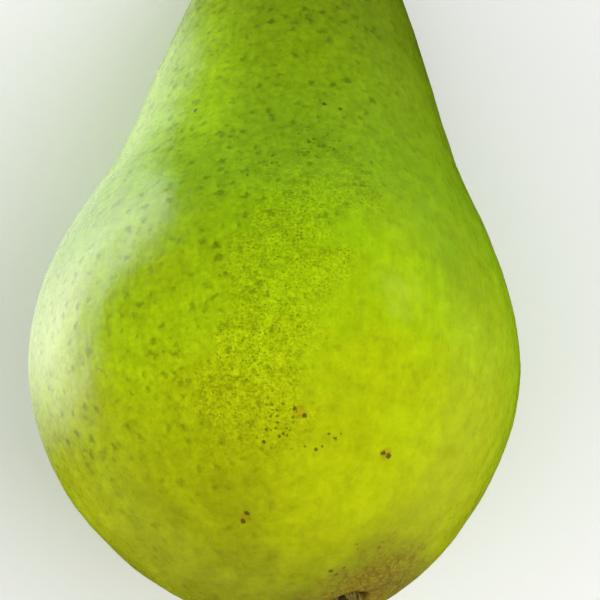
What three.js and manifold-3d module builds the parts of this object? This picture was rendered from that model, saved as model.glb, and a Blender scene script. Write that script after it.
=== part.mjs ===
// A fresh green pear, as picked, lying on its side on a table: the fruit, its woody stalk, and the dried
// flower that stays at the other end, which is five sepals round a tuft of stamens.
// Millimetres. The finished group has +Z up, +Y towards the stalk, and its origin on the table, under the
// middle of the box that the pear fills.
//
// Every piece is first made on the fruit's own axes: +Y runs up the middle from the flower end to the
// stalk, with 0 at the widest place, +X is to the right and +Z is the side that faces up on the table.
// At the end the whole pear is tipped on its side, as it comes to rest, and set down.
import * as THREE from "three";
import { mergeVertices } from "three/addons/utils/BufferGeometryUtils.js";
import Module from "manifold-3d";

const wasm = await Module();
wasm.setup();

// ---- Driving dimensions ------------------------------------------------------------------------------

const bellyRadius = 35; // at the widest place
const baseDepth = 36.7; // from the widest place down to the flower end
const basePoint = 1.78; // 2 would be a round end, and less is more pointed
const crown = 75.6; // height of the top of the neck above the widest place

const restTilt = THREE.MathUtils.degToRad(20.3); // how far the neck dips when the pear lies down
const restHeight = 34.65; // of the middle of the belly above the table

const calyxAside = new THREE.Vector2(8.4, 0.4); // the flower end isn't in the middle of the base
const calyxReach = 27; // how far round it the skin is drawn aside with it
const calyxRadius = 3.1; // of the tube that the dried flower sits in
const calyxDepth = 4.6;
const basinDepth = 0.9; // of the dip round the tube
const basinReach = 5.5;
const puckerDepth = 0.28; // of the five furrows that run into it
const sepalCount = 5;

const stalkLength = 27;
const stalkRadius = 1.55;
const pitRadius = 2.5; // the stalk's seat in the crown
const pitDepth = 1.6;

const gap = 0.3; // left between pieces that meet
const roundSegments = 60;

// ---- The fruit's outline -----------------------------------------------------------------------------

// Height of the skin at the flower end, at a distance from the middle line.
function baseHeight(distance) {
  const share = Math.min(distance / bellyRadius, 1);
  return -baseDepth * (1 - share ** basePoint) ** (1 / basePoint);
}

// From the belly over the shoulder and the waist to the crown, as radius and height.
function upperOutline() {
  const through = [
    [33.6, -10],
    [bellyRadius, 0],
    [33.3, 11.5],
    [29.2, 21],
    [24.7, 30],
    [21.8, 39],
    [19.1, 48],
    [15.9, 57],
    [12.6, 66],
    [8.6, 73],
    [4.6, crown],
    [pitRadius + 0.3, crown - 0.4],
  ];
  const curve = new THREE.SplineCurve(through.map(([r, y]) => new THREE.Vector2(r, y)));
  const stepsBetween = 2;
  return curve.getPoints((through.length - 1) * stepsBetween).filter((p) => p.y > -1);
}

// How far into the fruit the surface lies at a distance from the flower's middle: the dip, then the tube.
const basinSink = (distance) => basinDepth * Math.exp(-((distance / basinReach) ** 2));

function fruitOutline() {
  const rim = calyxRadius + 0.25;
  const floor = basinSink(calyxRadius) + calyxDepth;
  const tube = [
    [0, floor],
    [calyxRadius - 1, floor],
    [calyxRadius - 0.5, floor - 0.7],
    [calyxRadius - 0.2, floor / 2],
    [calyxRadius - 0.05, basinSink(calyxRadius) + 0.5],
    [rim, basinSink(rim)],
  ];
  const points = tube.map(([r, sink]) => new THREE.Vector2(r, baseHeight(r) + sink));
  const baseRings = 16;
  for (let i = 1; i < baseRings; i++) {
    const angle = (Math.PI / 2) * (i / baseRings) ** 1.3;
    const r = THREE.MathUtils.lerp(rim, bellyRadius, Math.sin(angle));
    points.push(new THREE.Vector2(r, baseHeight(r) + basinSink(r)));
  }
  points.push(...upperOutline());
  points.push(new THREE.Vector2(pitRadius, crown - pitDepth));
  points.push(new THREE.Vector2(0, crown - pitDepth));
  return points;
}

// ---- How the fruit departs from a turned shape -------------------------------------------------------

// The middle line leans to the right at both ends. Its points are evenly spaced from end to end.
const leans = [1.4, 0.5, 0, 0, 0, 0.5, 1.6, 2.1, 2.9, 3.8, 4.6];
const leanPoints = leans.map((x, i) => new THREE.Vector2(x, i));
const leanCurve = new THREE.SplineCurve(leanPoints);

function lean(height) {
  const along = (height + baseDepth) / (crown + baseDepth);
  return leanCurve.getPoint(THREE.MathUtils.clamp(along, 0, 1)).x;
}

// Broad swellings (+) and hollows (-) of the skin. Angle 0 is to the right and 90 faces up.
const swellings = [
  { angle: 60, height: 42, size: 13, rise: 0.4 },
  { angle: 178, height: 20, size: 13, rise: 0.5 },
  { angle: 120, height: -14, size: 17, rise: 0.5 },
  { angle: 235, height: 24, size: 13, rise: -0.7 },
  { angle: 300, height: -20, size: 15, rise: 0.6 },
  { angle: 205, height: 52, size: 10, rise: 0.5 },
];

function swelling(point) {
  const centre = new THREE.Vector3();
  let rise = 0;
  for (const s of swellings) {
    const angle = THREE.MathUtils.degToRad(s.angle);
    const out = Math.hypot(point.x, point.z);
    centre.set(out * Math.cos(angle), s.height, out * Math.sin(angle));
    rise += s.rise * Math.exp(-((point.distanceTo(centre) / s.size) ** 2));
  }
  return rise;
}

// The way into the fruit at the flower end, square to the skin there.
const calyxOut = Math.hypot(calyxAside.x, calyxAside.y);
const calyxSlope = (baseHeight(calyxOut + 0.01) - baseHeight(calyxOut)) / 0.01;
const calyxInward = new THREE.Vector3(-calyxAside.x, calyxOut / calyxSlope, -calyxAside.y).normalize();

// Slides the rings of the base round to where the flower grew, and sinks the dip and the tube there.
function slideToCalyx(point) {
  const distance = Math.hypot(point.x, point.z);
  const sink = point.y - baseHeight(distance);
  const drawn = 1 - THREE.MathUtils.smoothstep(distance, 0, calyxReach);
  const angle = Math.atan2(point.z, point.x);
  const rising = THREE.MathUtils.smoothstep(distance, calyxRadius, 6);
  const fading = 1 - THREE.MathUtils.smoothstep(distance, 6, 12);
  const furrow = puckerDepth * Math.cos(sepalCount * angle) * rising * fading;
  point.x += calyxAside.x * drawn;
  point.z += calyxAside.y * drawn;
  point.y = baseHeight(Math.hypot(point.x, point.z));
  point.addScaledVector(calyxInward, sink + furrow);
}

function fruitGeometry() {
  const geometry = new THREE.LatheGeometry(fruitOutline(), roundSegments);
  const place = geometry.getAttribute("position");
  const point = new THREE.Vector3();
  for (let i = 0; i < place.count; i++) {
    point.fromBufferAttribute(place, i);
    const radius = Math.hypot(point.x, point.z);
    const fade = THREE.MathUtils.smoothstep(radius, pitRadius, 8);
    const swollen = radius > 0 ? 1 + (fade * swelling(point)) / radius : 1;
    if (point.y < 0) slideToCalyx(point);
    point.x = point.x * swollen + lean(point.y);
    point.z *= swollen;
    place.setXYZ(i, point.x, point.y, point.z);
  }
  return geometry;
}

// ---- Solids that are cut or joined -------------------------------------------------------------------

function toSolid(geometry) {
  const bare = geometry.clone();
  bare.deleteAttribute("normal");
  bare.deleteAttribute("uv");
  const merged = mergeVertices(bare, 1e-4);
  return new wasm.Manifold(
    new wasm.Mesh({
      numProp: 3,
      vertProperties: new Float32Array(merged.attributes.position.array),
      triVerts: new Uint32Array(merged.index.array),
    }),
  );
}

function toGeometry(solid) {
  const mesh = solid.getMesh();
  const geometry = new THREE.BufferGeometry();
  geometry.setAttribute("position", new THREE.BufferAttribute(new Float32Array(mesh.vertProperties), 3));
  geometry.setIndex(new THREE.BufferAttribute(new Uint32Array(mesh.triVerts), 1));
  geometry.computeVertexNormals();
  return geometry;
}

// From the fruit's own axes to the table.
const setDown = new THREE.Matrix4().makeRotationX(-restTilt).setPosition(0, 0, restHeight);

// The table under the pear, on the fruit's own axes: it presses the flat spots on the belly and the neck.
function tableSolid() {
  const thick = 20;
  const table = new THREE.BoxGeometry(200, 300, thick);
  table.translate(0, 0, -thick / 2);
  table.applyMatrix4(setDown.clone().invert());
  return toSolid(table);
}

// ---- The stalk ---------------------------------------------------------------------------------------

// Bends a shape that stands on +Y over its length, so that it follows a curve.
function bendAlong(geometry, curve, length) {
  const place = geometry.getAttribute("position");
  const up = new THREE.Vector3(0, 1, 0);
  const turn = new THREE.Quaternion();
  const across = new THREE.Vector3();
  for (let i = 0; i < place.count; i++) {
    const along = THREE.MathUtils.clamp(place.getY(i) / length, 0, 1);
    turn.setFromUnitVectors(up, curve.getTangent(along));
    across.set(place.getX(i), 0, place.getZ(i)).applyQuaternion(turn).add(curve.getPoint(along));
    place.setXYZ(i, across.x, across.y, across.z);
  }
  return geometry;
}

function stalkGeometry() {
  const outline = [
    [0, 0],
    [1.25, 0],
    [1.25, 0.04],
    [1.22, 0.1],
    [1.06, 0.25],
    [1, 0.45],
    [0.98, 0.65],
    [1.08, 0.8],
    [1.35, 0.92],
    [1.6, 0.975],
    [1.5, 1],
    [0, 1],
  ].map(([r, y]) => new THREE.Vector2(r * stalkRadius, y * stalkLength));
  const foot = new THREE.Vector3(lean(crown), crown - pitDepth + gap, 0);
  const middle = new THREE.Vector3(1.0, stalkLength * 0.5, 1.5).add(foot);
  const tip = new THREE.Vector3(8.5, stalkLength * 0.88, 8.5).add(foot);
  const curve = new THREE.QuadraticBezierCurve3(foot, middle, tip);
  return bendAlong(new THREE.LatheGeometry(outline, 20), curve, stalkLength);
}

// ---- The dried flower --------------------------------------------------------------------------------

const sepalLength = 4.2;
const sepalWidth = 2.3;
const sepalThickness = 0.45;
const sepalSink = 1.5; // its foot lies this far inside the tube's mouth

// A tapering blade that stands on +Y and curls outwards, which is +Z, towards its tip.
function sepalGeometry() {
  const blade = new THREE.SphereGeometry(1, 14, 12);
  const place = blade.getAttribute("position");
  for (let i = 0; i < place.count; i++) {
    const along = (place.getY(i) + 1) / 2;
    const taper = 1 - 0.55 * along;
    const curl = 1.5 * along ** 2.2;
    place.setXYZ(
      i,
      place.getX(i) * (sepalWidth / 2) * taper,
      along * sepalLength - 0.25 * curl,
      place.getZ(i) * (sepalThickness / 2) + curl,
    );
  }
  return blade;
}

const stamenCount = 9;
const stamenLength = 4;

// Filaments that spread from one small button, joined with it.
function stamenGeometry() {
  const button = new THREE.CylinderGeometry(1.3, 1.1, 0.9, 16).translate(0, 0.45, 0);
  let tuft = toSolid(button);
  for (let i = 0; i < stamenCount; i++) {
    const filament = new THREE.CylinderGeometry(0.12, 0.18, stamenLength, 6);
    filament.translate(0, stamenLength / 2, 0);
    filament.rotateX(0.1 + 0.05 * (i % 3));
    filament.translate(0, 0.2, 0.75);
    filament.rotateY((2 * Math.PI * i) / stamenCount);
    tuft = tuft.add(toSolid(filament));
  }
  return toGeometry(tuft);
}

// The flower's own axes: +Y points out of the tube, square to the skin, from the skin's height.
function calyxFrame() {
  const frame = new THREE.Group();
  frame.position.set(calyxAside.x + lean(-baseDepth), baseHeight(calyxOut), calyxAside.y);
  const outward = calyxInward.clone().negate();
  frame.quaternion.setFromUnitVectors(new THREE.Vector3(0, 1, 0), outward);
  return frame;
}

// ---- The pear ----------------------------------------------------------------------------------------

const skin = new THREE.MeshStandardMaterial({ color: 0xa7bb10, roughness: 0.42, metalness: 0 });
const bark = new THREE.MeshStandardMaterial({ color: 0x6a4a26, roughness: 0.8, metalness: 0 });
const driedSepal = new THREE.MeshStandardMaterial({ color: 0xa08450, roughness: 0.85, metalness: 0 });
const driedStamen = new THREE.MeshStandardMaterial({ color: 0x4a341e, roughness: 0.9, metalness: 0 });

function namedMesh(name, geometry, material) {
  const mesh = new THREE.Mesh(geometry, material);
  mesh.name = name;
  return mesh;
}

const calyx = calyxFrame();
for (let i = 0; i < sepalCount; i++) {
  const sepal = namedMesh(`sepal_${i + 1}`, sepalGeometry(), driedSepal);
  const arm = new THREE.Group();
  arm.rotation.y = (2 * Math.PI * (i + 0.5)) / sepalCount;
  sepal.position.set(0, -basinDepth - sepalSink, calyxRadius - gap - sepalThickness - 0.1);
  arm.add(sepal);
  calyx.add(arm);
}
const stamens = namedMesh("stamens", stamenGeometry(), driedStamen);
stamens.position.y = -basinSink(calyxRadius) - calyxDepth + gap;
calyx.add(stamens);

const fruitSolid = toSolid(fruitGeometry()).subtract(tableSolid());

const pear = new THREE.Group();
pear.add(namedMesh("fruit", toGeometry(fruitSolid), skin));
pear.add(namedMesh("stalk", stalkGeometry(), bark));
pear.add(calyx);
pear.applyMatrix4(setDown);

// The origin goes under the middle of the pear.
const onTable = new THREE.Group();
onTable.add(pear);
const middle = new THREE.Box3().setFromObject(pear, true).getCenter(new THREE.Vector3());
onTable.position.set(-middle.x, -middle.y, 0);

export default onTable;
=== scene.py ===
# %% [markdown]
# # A green pear, lying on its side
#
# This lesson builds a fresh pear as it comes to rest on a table: the fruit, its woody stalk, and the dried
# flower at the other end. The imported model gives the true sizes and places, so it is loaded first, and
# every piece below is worked out from it. All lengths are in metres.

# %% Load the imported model
import math
import random

import bpy
from mathutils import Matrix, Vector


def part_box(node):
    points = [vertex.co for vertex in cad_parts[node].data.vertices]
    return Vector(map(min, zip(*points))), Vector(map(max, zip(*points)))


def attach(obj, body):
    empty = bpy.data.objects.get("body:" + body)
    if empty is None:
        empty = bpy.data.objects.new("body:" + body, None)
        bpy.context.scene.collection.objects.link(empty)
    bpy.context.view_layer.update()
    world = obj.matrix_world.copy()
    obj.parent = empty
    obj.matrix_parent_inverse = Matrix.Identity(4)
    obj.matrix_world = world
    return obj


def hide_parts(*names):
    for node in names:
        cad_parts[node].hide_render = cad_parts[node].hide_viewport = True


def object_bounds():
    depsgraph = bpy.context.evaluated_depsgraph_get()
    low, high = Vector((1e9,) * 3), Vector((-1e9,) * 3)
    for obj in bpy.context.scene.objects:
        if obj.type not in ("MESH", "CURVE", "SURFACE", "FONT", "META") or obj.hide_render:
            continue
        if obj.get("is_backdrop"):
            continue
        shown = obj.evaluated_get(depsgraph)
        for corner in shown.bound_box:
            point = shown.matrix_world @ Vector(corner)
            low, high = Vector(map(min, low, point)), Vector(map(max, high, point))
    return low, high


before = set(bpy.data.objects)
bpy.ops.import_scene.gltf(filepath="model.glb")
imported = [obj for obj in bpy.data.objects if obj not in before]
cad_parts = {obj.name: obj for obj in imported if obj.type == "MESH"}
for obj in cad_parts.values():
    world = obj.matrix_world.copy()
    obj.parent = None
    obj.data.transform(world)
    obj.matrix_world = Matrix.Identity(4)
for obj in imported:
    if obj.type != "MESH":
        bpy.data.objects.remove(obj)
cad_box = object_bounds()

MM = 0.001
print("the whole pear, in mm:", [round(v / MM, 1) for v in cad_box[1] - cad_box[0]])

# %% [markdown]
# ## Where things are
#
# A pear has a middle line that runs from the flower end to the stalk, and nearly everything on it is easiest
# to place along that line. So the pieces are modelled on the fruit's own axes, with Y up the middle line, Z
# on the side that will face up and the middle of the belly at zero, and are laid down on the table at the
# end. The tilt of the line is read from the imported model: the widest point of the fruit marks the middle of
# the belly, and the stalk's foot marks the top of the neck.

# %% The middle line of the fruit
def cad_points(node):
    return [v.co.copy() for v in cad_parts[node].data.vertices]


def middle_of(points):
    return sum(points, Vector()) / len(points)


fruit_low, fruit_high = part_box("fruit")
widest = min(cad_points("fruit"), key=lambda p: p.x)
belly_radius = (fruit_high.x - fruit_low.x) / 2
belly = Vector((widest.x + belly_radius, widest.y, widest.z))

stalk_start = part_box("stalk")[0].y
stalk_foot = middle_of([p for p in cad_points("stalk") if p.y < stalk_start + 1 * MM])
tilt = math.atan2(belly.z - stalk_foot.z, stalk_foot.y - belly.y)
to_table = Matrix.Translation(belly) @ Matrix.Rotation(-tilt, 4, "X")
from_table = to_table.inverted()

calyx = from_table @ middle_of([middle_of(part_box(f"sepal_{i}")) for i in range(1, 6)])
foot = from_table @ stalk_foot
print("tilt", round(math.degrees(tilt), 1), "degrees, belly radius", round(belly_radius / MM, 1), "mm")
print("on the fruit's own axes, flower", [round(v / MM, 1) for v in calyx], "and stalk foot",
      [round(v / MM, 1) for v in foot])

# %% [markdown]
# ## Tools for modelling
#
# A mesh tool works on whatever is selected, so every step starts by choosing its points by their place.
# `draw_rings` is how most round things here begin: a circle is added, and then extruded, moved and scaled
# over and over, each time into the next ring of the list.

# %% Selecting and extruding
def deselect():
    bpy.ops.object.select_all(action="DESELECT")


def choose(piece, test):
    """Opens a piece in edit mode with the points that pass the test selected."""
    if bpy.context.object and bpy.context.object.mode == "EDIT":
        bpy.ops.object.mode_set(mode="OBJECT")
    deselect()
    bpy.context.view_layer.objects.active = piece
    piece.select_set(True)
    bpy.ops.object.mode_set(mode="EDIT")
    bpy.ops.mesh.select_mode(type="VERT")
    bpy.ops.mesh.select_all(action="DESELECT")
    bpy.ops.object.mode_set(mode="OBJECT")
    for v in piece.data.vertices:
        v.select = test(v.co)
    bpy.ops.object.mode_set(mode="EDIT")


def next_ring(centre, last_centre, scale):
    """Extrudes the selected ring into a new one, in a plane square to Y."""
    bpy.ops.mesh.extrude_region_move(TRANSFORM_OT_translate={"value": centre - last_centre})
    bpy.ops.transform.resize(value=(scale, 1, scale), center_override=centre)


def draw_rings(name, rings, segments):
    """rings holds (radius, x, y, z) for each ring, and the tube is left open at both ends."""
    deselect()
    radius, *place = rings[0]
    bpy.ops.mesh.primitive_circle_add(
        vertices=segments, radius=radius, location=place, rotation=(math.pi / 2, 0, 0))
    piece = bpy.context.object
    piece.name = piece.data.name = name
    bpy.ops.object.transform_apply()
    bpy.ops.object.mode_set(mode="EDIT")
    for (last_radius, *last), (radius, *place) in zip(rings, rings[1:]):
        next_ring(Vector(place), Vector(last), radius / last_radius)
    bpy.ops.object.mode_set(mode="OBJECT")
    return piece


# %% [markdown]
# ## The fruit
#
# Skin, flesh and core grew as one piece, so the fruit is one mesh. It could be cut from a ball with
# sculpting tools, but a pear is nearly a turned shape, and rings drawn up its middle line keep the faces
# even and give each ring its own centre: the neck leans to the right, and so does the flower end, which
# isn't in the middle of the base. The rings only have to come close, because a shrinkwrap then lays them on
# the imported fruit.

# %% Rings from the flower end to the crown
SEGMENTS = 44
FRUIT_RINGS = [  # radius, aside, height, in mm
    (4.3, 9.85, -34.7),
    (6.5, 9.3, -34.9),
    (9.1, 8.0, -34.8),
    (12.3, 6.1, -34.1),
    (16.0, 4.0, -32.2),
    (20.2, 2.1, -29.3),
    (24.6, 0.9, -25.2),
    (28.8, 0.4, -19.8),
    (32.2, 0.2, -13.3),
    (34.4, 0.0, -6.4),
    (35.0, 0.0, 0.5),
    (34.2, 0.0, 7.6),
    (32.0, 0.2, 14.6),
    (28.8, 0.7, 21.4),
    (25.5, 1.3, 28.0),
    (22.9, 1.8, 34.5),
    (21.0, 2.1, 41.2),
    (19.2, 2.4, 48.0),
    (16.9, 2.8, 54.6),
    (14.4, 3.3, 61.0),
    (11.8, 3.9, 67.0),
    (8.9, 4.4, 72.0),
    (6.0, 4.6, 74.9),
    (3.9, 4.6, 75.6),
]
fruit = draw_rings("fruit_skin", [(r * MM, x * MM, y * MM, 0) for r, x, y in FRUIT_RINGS], SEGMENTS)
print("the fruit's cage has", len(fruit.data.vertices), "points in", len(FRUIT_RINGS), "rings")

# %% [markdown]
# A ring drawn this way lies square to the middle line, but the flower end faces a little to the right, so
# the first three rings are turned that way one by one. Without a window, an operator turns about the world's
# middle unless it is told the centre, and it turns the other way, so the angle is negative. Then the cage is
# laid on the table along the fruit's tilt.

# %% Turn the flower end, and set the cage down
def set_down(piece, matrix):
    """Moves a piece from the axes it was made on to where it lies, with its object left at the origin."""
    deselect()
    piece.select_set(True)
    bpy.context.view_layer.objects.active = piece
    piece.matrix_world = matrix
    bpy.ops.object.transform_apply()


def report(piece):
    sides = [max(v.co[i] for v in piece.data.vertices) - min(v.co[i] for v in piece.data.vertices)
             for i in range(3)]
    triangles = sum(len(p.vertices) - 2 for p in piece.data.polygons)
    print(piece.name, [round(s / MM, 1) for s in sides], "mm,", triangles, "triangles")


FLOWER_TURNS = ((2, 11), (1, 15), (0, 19))  # ring, degrees to the right
for ring, degrees in FLOWER_TURNS:
    radius, aside, height = FRUIT_RINGS[ring]
    centre = Vector((aside, height, 0)) * MM
    choose(fruit, lambda p: abs(p.y - centre.y) < 0.02 * MM
           and abs((p - centre).length - radius * MM) < 0.1 * MM)
    bpy.ops.transform.rotate(value=-math.radians(degrees), orient_axis="Z", center_override=centre)
    bpy.ops.object.mode_set(mode="OBJECT")
set_down(fruit, to_table)
report(fruit)

# %% [markdown]
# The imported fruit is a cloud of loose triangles, so the shrinkwrap gets a merged copy of it to lie on. The
# rings are kept a little proud of it, because the subdivision that comes later pulls a round cage inwards.

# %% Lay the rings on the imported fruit
def modify(piece, kind, **settings):
    """Adds a modifier, gives it its settings, and applies it."""
    bpy.context.view_layer.objects.active = piece
    modifier = piece.modifiers.new(kind.title(), kind)
    for setting, value in settings.items():
        setattr(modifier, setting, value)
    bpy.ops.object.modifier_apply(modifier=modifier.name)


deselect()
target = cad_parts["fruit"].copy()
target.data = target.data.copy()
bpy.context.scene.collection.objects.link(target)
choose(target, lambda p: True)
bpy.ops.mesh.remove_doubles(threshold=0.002 * MM)
bpy.ops.object.mode_set(mode="OBJECT")
ROUNDING_LOSS = 0.4 * MM
before = [v.co.copy() for v in fruit.data.vertices]
modify(fruit, "SHRINKWRAP", target=target, wrap_method="NEAREST_SURFACEPOINT", wrap_mode="ABOVE_SURFACE",
       offset=ROUNDING_LOSS)
moves = [(v.co - old).length / MM for v, old in zip(fruit.data.vertices, before)]
print("the rings moved", round(max(moves), 2), "mm at most, and on average",
      round(sum(moves) / len(moves), 2))

# %% [markdown]
# The mesh is still open at both ends. At the flower end a small tube goes into the fruit, and in the crown a
# pit holds the stalk. Both are made as by hand: the open edge is extruded inwards a few times, each ring a
# little smaller and deeper, and the last one is filled.

# %% Sinking an open edge
def open_edge(piece, near, reach):
    """Centre of the open ring near a point, its mean radius, and the way out of the fruit there."""
    ring = [v for v in piece.data.vertices if (v.co - near).length < reach]
    centre = middle_of([v.co for v in ring])
    radius = sum((v.co - centre).length for v in ring) / len(ring)
    out = middle_of([v.normal for v in ring]).normalized()
    return centre, radius, out


def sink_edge(piece, near, reach, steps):
    """steps holds the (radius, depth) of each new ring, both in mm."""
    centre, radius, out = open_edge(piece, near, reach)
    choose(piece, lambda p: (p - near).length < reach)
    last_depth = 0
    for step_radius, depth in steps:
        bpy.ops.mesh.extrude_region_move(
            TRANSFORM_OT_translate={"value": -out * (depth - last_depth) * MM})
        scale = step_radius * MM / radius
        bpy.ops.transform.resize(value=(scale, scale, scale), center_override=centre - out * depth * MM)
        radius, last_depth = step_radius * MM, depth
    bpy.ops.mesh.edge_face_add()
    bpy.ops.mesh.poke()
    bpy.ops.mesh.select_all(action="SELECT")
    bpy.ops.mesh.normals_make_consistent(inside=False)
    bpy.ops.object.mode_set(mode="OBJECT")
    return out


# %% [markdown]
# The tube is 4 mm deep and nearly as wide below as at its mouth, while the pit is only a shallow collar
# round the stalk. Both are sunk along the way the skin faces there, not along an axis.

# %% The flower tube and the stalk's pit
flower_mouth = to_table @ calyx
TUBE_REACH = 5.0 * MM
PIT_REACH = 5.2 * MM
TUBE_STEPS = [(3.5, 0.15), (3.15, 0.8), (3.0, 2.1), (2.75, 3.4), (1.7, 4.2)]
tube_out = sink_edge(fruit, flower_mouth, TUBE_REACH, TUBE_STEPS)
PIT_STEPS = [(3.1, 0.15), (2.35, 0.5), (2.05, 1.1), (1.1, 1.5)]
pit_out = sink_edge(fruit, to_table @ foot, PIT_REACH, PIT_STEPS)
bpy.data.objects.remove(target)
print("the flower tube faces", [round(c, 2) for c in tube_out])
print("the stalk's pit faces", [round(c, 2) for c in pit_out])

# %% [markdown]
# Three levels of subdivision round the skin. Grown skin is never quite even, though, so two soft noises are
# then pressed into it: broad swellings as wide as a thumb, and a fine unevenness that breaks up the gloss.
# The fruit has settled on its belly and its neck, so nothing may hang below the table afterwards, and the
# lowest points are scaled flat onto it.

# %% Round the skin and make it uneven
def unevenness(name, size, depth):
    texture = bpy.data.textures.new(name, "CLOUDS")
    texture.noise_scale = size
    texture.noise_depth = depth
    return texture


def subdivide(piece, levels):
    modify(piece, "SUBSURF", levels=levels, render_levels=levels)


subdivide(fruit, 3)
modify(fruit, "DISPLACE", texture=unevenness("broad swellings", 17 * MM, 1), strength=0.5 * MM)
modify(fruit, "DISPLACE", texture=unevenness("fine unevenness", 3.2 * MM, 2), strength=0.17 * MM)
def finish_piece(piece, node):
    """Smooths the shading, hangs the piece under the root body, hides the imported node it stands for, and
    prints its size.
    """
    deselect()
    piece.select_set(True)
    bpy.context.view_layer.objects.active = piece
    bpy.ops.object.shade_smooth()
    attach(piece, "root")
    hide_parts(node)
    report(piece)


PRESSED_FLAT = 0.06 * MM
choose(fruit, lambda p: p.z < PRESSED_FLAT)
bpy.ops.transform.resize(value=(1, 1, 0), center_override=(0, 0, 0))
bpy.ops.object.mode_set(mode="OBJECT")
finish_piece(fruit, "fruit")

# %% [markdown]
# ## The stalk
#
# A pear's stalk is wood: a little swollen where it leaves the flesh, thinner in the middle, and flared at
# the rough end that broke away from the twig. It is drawn straight first, because a straight stalk is easy
# to turn and its fibres run along Y. Each point's straight place is then kept for the material, and a curve
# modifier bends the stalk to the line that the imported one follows.

# %% Rings of the straight stalk
STALK_SIDES = 20
STALK_RINGS = [  # radius, distance from the foot, in mm
    (0.6, 0.0),
    (1.5, 0.05),
    (1.86, 0.4),
    (1.92, 1.2),
    (1.88, 2.6),
    (1.72, 4.6),
    (1.60, 7.2),
    (1.54, 10.5),
    (1.50, 14.0),
    (1.52, 17.5),
    (1.62, 20.5),
    (1.84, 23.0),
    (2.16, 24.9),
    (2.40, 26.1),
    (2.42, 26.7),
    (2.20, 27.0),
    (1.40, 26.8),
    (0.60, 26.6),
]
def close_holes(piece):
    choose(piece, lambda p: True)
    bpy.ops.mesh.fill_holes(sides=0)
    bpy.ops.mesh.normals_make_consistent(inside=False)
    bpy.ops.object.mode_set(mode="OBJECT")


stalk = draw_rings("stalk_wood", [(r * MM, 0, y * MM, 0) for r, y in STALK_RINGS], STALK_SIDES)
close_holes(stalk)
subdivide(stalk, 2)
report(stalk)

# %% [markdown]
# Furrows come from the same soft noise as on the skin, but an empty stretched along the stalk carries it, so
# it is drawn out into long ridges. A coarser one knots the wood, and a fine one roughens the broken end.

# %% Furrows, knots and splinters
def remember_place(piece):
    """Keeps each point's place, in mm, in an attribute, for materials that follow a bent piece."""
    places = piece.data.attributes.new("straight", "FLOAT_VECTOR", "POINT")
    for v, entry in zip(piece.data.vertices, places.data):
        entry.vector = v.co / MM


deselect()
bpy.ops.object.empty_add(location=(0, 0, 0))
grain_line = bpy.context.object
grain_line.scale = (1, 9, 1)
modify(stalk, "DISPLACE", texture=unevenness("furrows", 0.7 * MM, 2), strength=0.34 * MM,
       texture_coords="OBJECT", texture_coords_object=grain_line)
modify(stalk, "DISPLACE", texture=unevenness("knots", 3.0 * MM, 1), strength=0.4 * MM)
bpy.data.objects.remove(grain_line)
choose(stalk, lambda p: p.y > 26.2 * MM)
bpy.ops.object.mode_set(mode="OBJECT")
ragged_end = stalk.vertex_groups.new(name="ragged_end")
ragged_end.add([v.index for v in stalk.data.vertices if v.select], 1, "REPLACE")
modify(stalk, "DISPLACE", texture=unevenness("splinters", 0.45 * MM, 1), strength=0.9 * MM,
       direction="Y", vertex_group="ragged_end")
remember_place(stalk)
report(stalk)

# %% [markdown]
# The stalk could be bent by turning its rings one at a time, but one curve does it evenly. It starts at the
# foot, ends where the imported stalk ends, and both its handles reach for one point between, the knee.

# %% Bend the stalk along a curve
stalk_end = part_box("stalk")[1].y
tip = from_table @ middle_of([p for p in cad_points("stalk") if p.y > stalk_end - 1.5 * MM])
knee = foot + Vector((1.0, 13.5, 1.5)) * MM
deselect()
bpy.ops.curve.primitive_bezier_curve_add()
line = bpy.context.object
line.data.resolution_u = 48
start, end = line.data.splines[0].bezier_points
for point in (start, end):
    point.handle_left_type = point.handle_right_type = "FREE"
start.co = foot
end.co = tip
start.handle_right = foot.lerp(knee, 2 / 3)
end.handle_left = tip.lerp(knee, 2 / 3)
start.handle_left = 2 * foot - start.handle_right
end.handle_right = 2 * tip - end.handle_left
modify(stalk, "CURVE", object=line, deform_axis="POS_Y")
bpy.data.objects.remove(line)
set_down(stalk, to_table)
finish_piece(stalk, "stalk")

# %% [markdown]
# ## The dried flower
#
# The five sepals are what is left of the flower's green outer leaves: dry, pointed, cupped and curled
# outwards, each one a bit different. They could be drawn as outlines, but a grid of faces can be cupped and
# curled before it gets its thickness, so one is made from a grid, row by row, and the others the same way
# with other random numbers. Each stands where its packed sepal does, on the tube's rim.

# %% One sepal, from a grid
SEPAL_ROWS = 9


def axes_at(origin, up, side):
    """A matrix whose Y points up and whose Z points to the side."""
    across = up.cross(side).normalized()
    turn = Matrix((across, up, across.cross(up))).transposed()
    return Matrix.Translation(origin) @ turn.to_4x4()


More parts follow.
